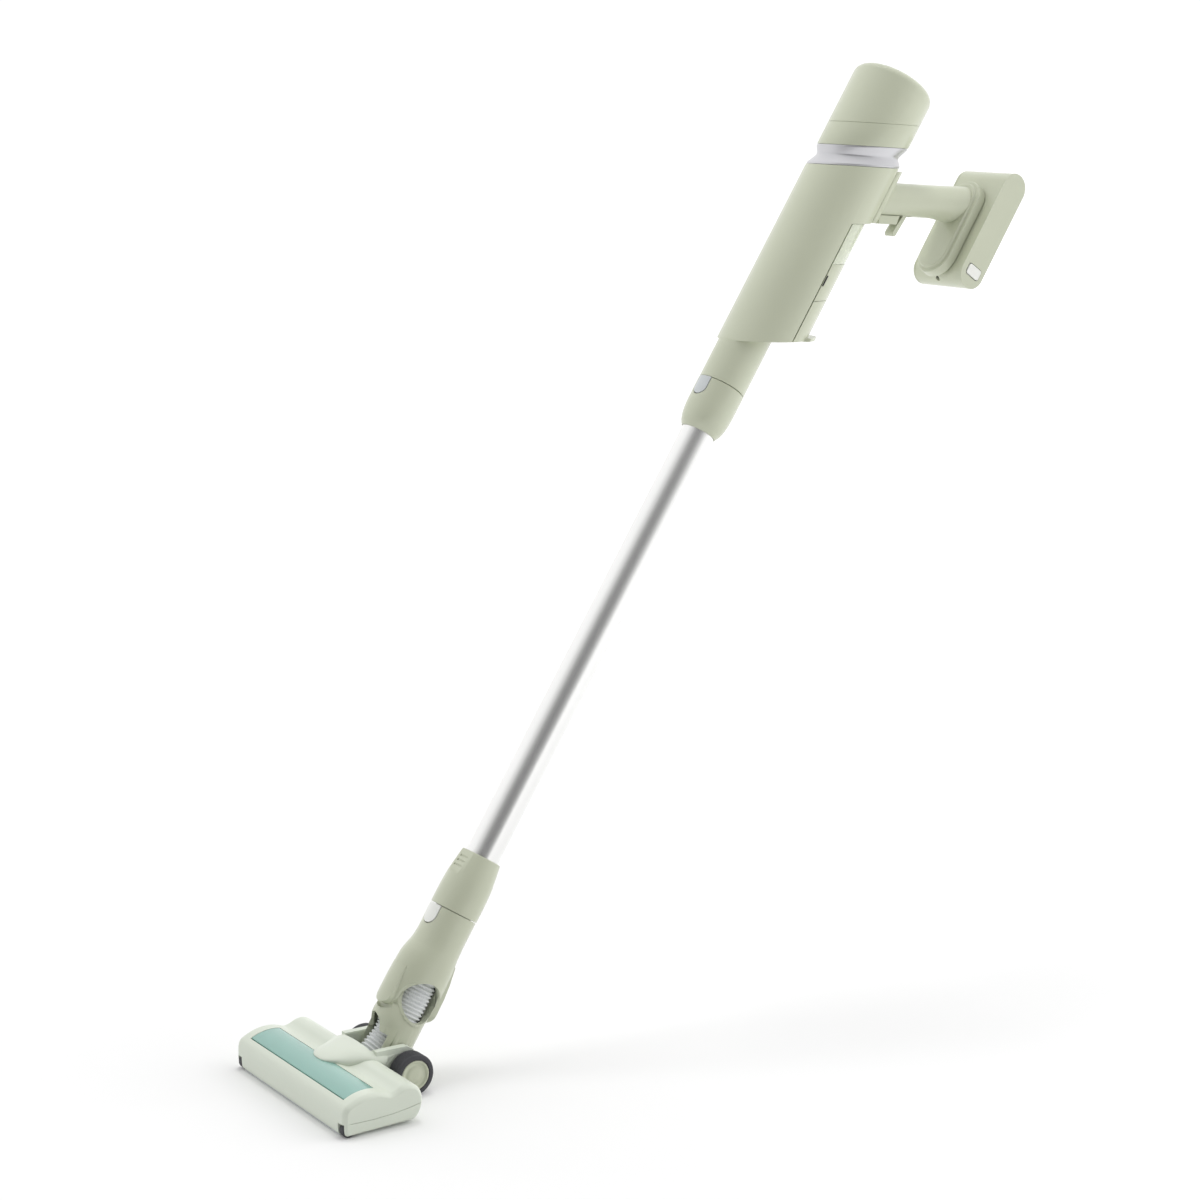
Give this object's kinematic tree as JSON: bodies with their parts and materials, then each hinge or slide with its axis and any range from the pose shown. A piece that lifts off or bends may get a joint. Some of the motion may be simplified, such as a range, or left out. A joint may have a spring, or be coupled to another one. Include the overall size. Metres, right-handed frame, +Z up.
{
  "type": "cordless stick vacuum",
  "caption": "Cordless stick vacuum with a rear dust bin, pistol grip with battery, straight metal wand, jointed hose neck and a powered floor head.",
  "frame": {"origin": "centre of the bounding box's footprint, on the floor that the wheels stand on", "axes": "+X across the machine to its right, -Y towards the front of the floor head, +Z up"},
  "size_m": [0.214, 0.8726, 0.9884],
  "materials": {
    "shell": "satin pale green plastic",
    "silver": "polished silver",
    "aluminium": "drawn and anodised",
    "teal": "clear tinted plastic",
    "smoke": "clear tinted plastic",
    "rubber": "matt",
    "hose": "matt ribbed",
    "button": "satin",
    "grey_button": "satin",
    "steel": "turned",
    "dark_plastic": "matt",
    "filter": "pleated paper",
    "board": "solder resist",
    "cell": "shrink sleeve"
  },
  "bodies": {
    "main_unit": {"body_shell": "shell", "waist_band": "silver", "motor_housing": "dark_plastic", "motor_stator": "steel", "chamber_plate": "shell", "control_board": "board", "inlet_duct": "shell", "handle_grip": "shell", "battery_dock": "shell", "trigger_pin": "steel", "trigger_switch": "dark_plastic"},
    "impeller": {"impeller": "silver"},
    "top_cap": {"top_cap": "shell", "exhaust_filter": "filter"},
    "dust_bin": {"bin_cup": "smoke", "bin_window": "smoke", "bin_panel": "shell", "cyclone_cone": "dark_plastic", "mesh_sleeve": "steel"},
    "bin_latch": {"bin_latch": "shell"},
    "trigger": {"trigger": "shell"},
    "lock_slider": {"lock_slider": "button"},
    "battery": {"battery_case": "shell", "battery_end": "shell", "charge_socket": "dark_plastic", "cell_1": "cell", "cell_2": "cell", "cell_3": "cell", "cell_4": "cell", "cell_5": "cell", "cell_6": "cell"},
    "battery_button": {"battery_button": "button"},
    "wand": {"wand_tube": "aluminium", "upper_collar": "shell", "lower_collar": "shell"},
    "wand_button": {"wand_release_button": "grey_button"},
    "neck": {"neck_upper": "shell", "hose_cuff": "dark_plastic", "swivel_pin_front": "steel", "swivel_pin_rear": "steel"},
    "head_button": {"head_release_button": "button"},
    "elbow": {"neck_lower": "shell", "flexible_hose": "hose"},
    "floor_head": {"head_top": "shell", "window": "teal", "head_base": "shell", "bonnet": "shell", "brush_motor": "steel", "drive_belt": "rubber", "wheel_axle_left": "steel", "wheel_axle_right": "steel"},
    "brush": {"brush_roll": "dark_plastic", "brush_pulley": "dark_plastic"},
    "motor_pulley": {"motor_pulley": "dark_plastic"},
    "wheel_left": {"wheel_hub_left": "shell", "tyre_left": "rubber"},
    "wheel_right": {"wheel_hub_right": "shell", "tyre_right": "rubber"},
    "roller_left": {"front_roller_left": "rubber"},
    "roller_right": {"front_roller_right": "rubber"}
  },
  "joints": [
    {"name": "impeller_spin", "type": "hinge", "parent": "main_unit", "child": "impeller", "pos_m": [0, 0.20632, 0.85577], "axis": [0, 0.5284, 0.849], "continuous": true},
    {"name": "cap_lift", "type": "slide", "parent": "main_unit", "child": "top_cap", "axis": [0, 0.5284, 0.849], "range_m": [0, 0.05]},
    {"name": "bin_slide", "type": "slide", "parent": "main_unit", "child": "dust_bin", "axis": [0, 0.849, -0.5284], "range_m": [0, 0.08]},
    {"name": "latch_press", "type": "hinge", "parent": "dust_bin", "child": "bin_latch", "pos_m": [0, 0.1904, 0.74844], "axis": [1, 0, 0], "range_deg": [0, 15], "stiffness_Nm_per_rad": 0.4},
    {"name": "trigger_pull", "type": "hinge", "parent": "main_unit", "child": "trigger", "pos_m": [0, 0.29688, 0.83748], "axis": [1, 0, 0], "range_deg": [0, 10], "stiffness_Nm_per_rad": 0.15},
    {"name": "lock_slide", "type": "slide", "parent": "main_unit", "child": "lock_slider", "axis": [0, -0.999, 0.0454], "range_m": [0, 0.004]},
    {"name": "battery_slide", "type": "slide", "parent": "main_unit", "child": "battery", "axis": [0, -0.5284, -0.849], "range_m": [0, 0.07]},
    {"name": "battery_button_press", "type": "slide", "parent": "battery", "child": "battery_button", "axis": [-1, 0, 0], "range_m": [0, 0.0018], "stiffness_N_per_m": 800},
    {"name": "wand_slide", "type": "slide", "parent": "main_unit", "child": "wand", "axis": [0, -0.5284, -0.849], "range_m": [0, 0.06]},
    {"name": "wand_button_press", "type": "slide", "parent": "wand", "child": "wand_button", "axis": [0, 0.849, -0.5284], "range_m": [0, 0.0018], "stiffness_N_per_m": 800},
    {"name": "neck_slide", "type": "slide", "parent": "wand", "child": "neck", "axis": [0, -0.5284, -0.849], "range_m": [0, 0.06]},
    {"name": "head_button_press", "type": "slide", "parent": "neck", "child": "head_button", "axis": [0, 0.849, -0.5284], "range_m": [0, 0.0018], "stiffness_N_per_m": 800},
    {"name": "neck_swivel", "type": "hinge", "parent": "neck", "child": "elbow", "pos_m": [0, -0.30162, 0.08003], "axis": [0, 0.849, -0.5284], "range_deg": [-55, 55], "deforming": ["flexible_hose"]},
    {"name": "head_pitch", "type": "hinge", "parent": "elbow", "child": "floor_head", "pos_m": [0, -0.326, 0.021], "axis": [1, 0, 0], "range_deg": [-32, 50], "deforming": ["flexible_hose"]},
    {"name": "brush_spin", "type": "hinge", "parent": "floor_head", "child": "brush", "pos_m": [0, -0.408, 0.0175], "axis": [1, 0, 0], "continuous": true},
    {"name": "motor_pulley_spin", "type": "hinge", "parent": "floor_head", "child": "motor_pulley", "pos_m": [-0.097, -0.372, 0.02], "axis": [1, 0, 0], "continuous": true},
    {"name": "wheel_left_spin", "type": "hinge", "parent": "floor_head", "child": "wheel_left", "pos_m": [0, -0.326, 0.021], "axis": [1, 0, 0], "continuous": true},
    {"name": "wheel_right_spin", "type": "hinge", "parent": "floor_head", "child": "wheel_right", "pos_m": [0, -0.326, 0.021], "axis": [1, 0, 0], "continuous": true},
    {"name": "roller_left_spin", "type": "hinge", "parent": "floor_head", "child": "roller_left", "pos_m": [-0.0998, -0.4286, 0.007], "axis": [1, 0, 0], "continuous": true},
    {"name": "roller_right_spin", "type": "hinge", "parent": "floor_head", "child": "roller_right", "pos_m": [0.0998, -0.4286, 0.007], "axis": [1, 0, 0], "continuous": true}
  ],
  "couplings": [
    {"joint": "motor_pulley_spin", "follows": "brush_spin", "ratio": 1.6}
  ]
}
